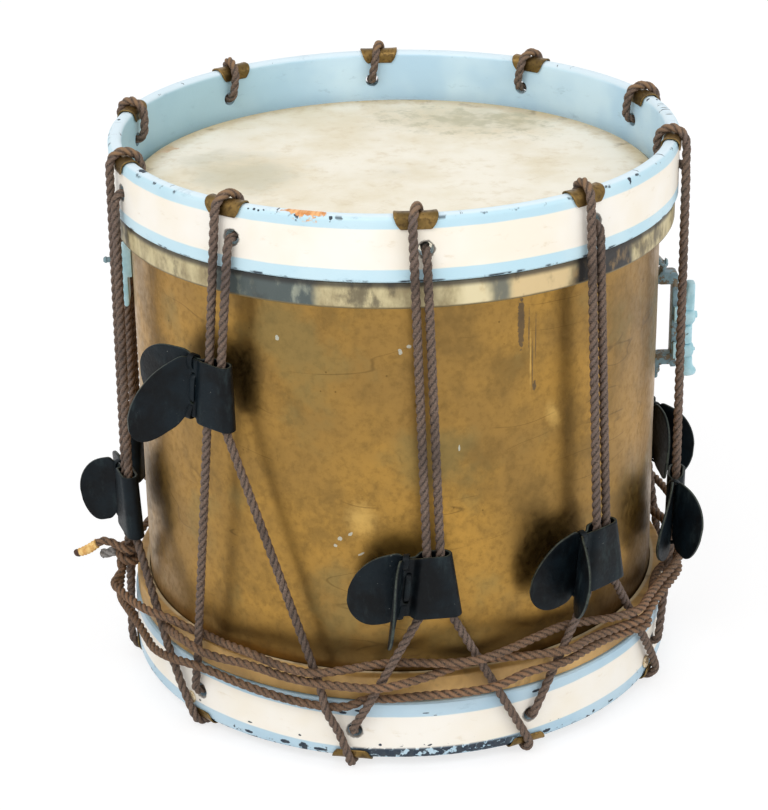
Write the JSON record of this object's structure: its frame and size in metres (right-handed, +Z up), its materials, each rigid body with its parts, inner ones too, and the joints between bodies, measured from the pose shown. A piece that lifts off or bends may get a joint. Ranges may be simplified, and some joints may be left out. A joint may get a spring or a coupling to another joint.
{
  "type": "field drum",
  "caption": "Rope-tensioned field drum: brass shell, calfskin heads, painted wooden counterhoops, laced rope with sliding leather ears, snare strainer and a loose wound rope.",
  "frame": {"origin": "on the drum's axis, on the plane it stands on", "axes": "+Z up the drum's axis to the batter head, -Y to the front as pictured, +X to the right where the strainer is"},
  "size_m": [0.4675, 0.4877, 0.4111],
  "materials": {
    "aged_brass": "aged, brown-gold, dull sheen",
    "drum_skin": "stained calfskin",
    "ash_wood": "plain",
    "painted_wood": "chipped pale blue gloss paint with a cream band",
    "guard_brass": "brown patina",
    "rope": "dark brown laid rope",
    "whipping": "old tape",
    "black_leather": "worn black",
    "disc_paint": "cream",
    "fitting_metal": "pale blue-grey over metal"
  },
  "bodies": {
    "drum": {"brass_shell": "aged_brass", "batter_head": "drum_skin", "snare_head": "drum_skin", "batter_flesh_hoop": "ash_wood", "snare_flesh_hoop": "ash_wood", "batter_counterhoop": "painted_wood", "snare_counterhoop": "painted_wood", "tension_rope": "rope", "rope_joining_knot": "rope", "drag_rope": "rope", "drag_rope_whipping": "whipping", "strainer_frame": "fitting_metal", "strainer_foot_screw_upper": "fitting_metal", "strainer_foot_screw_lower": "fitting_metal", "butt_bracket": "fitting_metal", "butt_screw": "fitting_metal", "hoop_disc_left": "disc_paint", "hoop_disc_right": "disc_paint", "batter_rope_guard_01": "guard_brass", "batter_rope_guard_02": "guard_brass", "batter_rope_guard_03": "guard_brass", "batter_rope_guard_04": "guard_brass", "batter_rope_guard_05": "guard_brass", "batter_rope_guard_06": "guard_brass", "batter_rope_guard_07": "guard_brass", "batter_rope_guard_08": "guard_brass", "batter_rope_guard_09": "guard_brass", "batter_rope_guard_10": "guard_brass", "snare_rope_guard_01": "guard_brass", "snare_rope_guard_02": "guard_brass", "snare_rope_guard_03": "guard_brass", "snare_rope_guard_04": "guard_brass", "snare_rope_guard_05": "guard_brass", "snare_rope_guard_06": "guard_brass", "snare_rope_guard_07": "guard_brass", "snare_rope_guard_08": "guard_brass", "snare_rope_guard_09": "guard_brass", "snare_rope_guard_10": "guard_brass"},
    "ear_01": {"tug_ear_01": "black_leather", "tug_lace_01": "black_leather"},
    "ear_02": {"tug_ear_02": "black_leather", "tug_lace_02": "black_leather"},
    "ear_03": {"tug_ear_03": "black_leather", "tug_lace_03": "black_leather"},
    "ear_04": {"tug_ear_04": "black_leather", "tug_lace_04": "black_leather"},
    "ear_05": {"tug_ear_05": "black_leather", "tug_lace_05": "black_leather"},
    "ear_06": {"tug_ear_06": "black_leather", "tug_lace_06": "black_leather"},
    "ear_07": {"tug_ear_07": "black_leather", "tug_lace_07": "black_leather"},
    "ear_08": {"tug_ear_08": "black_leather", "tug_lace_08": "black_leather"},
    "ear_09": {"tug_ear_09": "black_leather", "tug_lace_09": "black_leather"},
    "ear_10": {"tug_ear_10": "black_leather", "tug_lace_10": "black_leather"},
    "slide_block": {"strainer_slide_block": "fitting_metal"},
    "thumb_screw": {"strainer_thumb_screw": "fitting_metal"}
  },
  "joints": [
    {"name": "ear_01_slide", "type": "slide", "parent": "drum", "child": "ear_01", "axis": [-0.0323, 0.0015, 0.9995], "range_m": [0, 0.164]},
    {"name": "ear_02_slide", "type": "slide", "parent": "drum", "child": "ear_02", "axis": [-0.04, -0.0283, 0.9988], "range_m": [0, 0.17]},
    {"name": "ear_03_slide", "type": "slide", "parent": "drum", "child": "ear_03", "axis": [-0.0053, -0.0067, 1], "range_m": [0, 0.186]},
    {"name": "ear_04_slide", "type": "slide", "parent": "drum", "child": "ear_04", "axis": [0.0001, -0.0115, 0.9999], "range_m": [0, 0.174]},
    {"name": "ear_05_slide", "type": "slide", "parent": "drum", "child": "ear_05", "axis": [0.0069, -0.0094, 0.9999], "range_m": [0, 0.17]},
    {"name": "ear_06_slide", "type": "slide", "parent": "drum", "child": "ear_06", "axis": [0.0172, -0.0032, 0.9998], "range_m": [0, 0.167]},
    {"name": "ear_07_slide", "type": "slide", "parent": "drum", "child": "ear_07", "axis": [0.0066, 0, 1], "range_m": [0, 0.172]},
    {"name": "ear_08_slide", "type": "slide", "parent": "drum", "child": "ear_08", "axis": [0.0067, 0.0093, 0.9999], "range_m": [0, 0.176]},
    {"name": "ear_09_slide", "type": "slide", "parent": "drum", "child": "ear_09", "axis": [0.0179, -0.0368, 0.9992], "range_m": [0, 0.165]},
    {"name": "ear_10_slide", "type": "slide", "parent": "drum", "child": "ear_10", "axis": [0.0846, -0.0477, 0.9953], "range_m": [0, 0.041]},
    {"name": "strainer_slide", "type": "slide", "parent": "drum", "child": "slide_block", "axis": [0, 0, 1], "range_m": [0, 0.006]},
    {"name": "thumb_screw_turn", "type": "hinge", "parent": "slide_block", "child": "thumb_screw", "pos_m": [0.21267, 0.00743, 0.21979], "axis": [0, 0, 1], "range_deg": [0, 2161]}
  ],
  "couplings": [
    {"joint": "thumb_screw_turn", "follows": "strainer_slide", "rad_per_m": 6283.2}
  ]
}
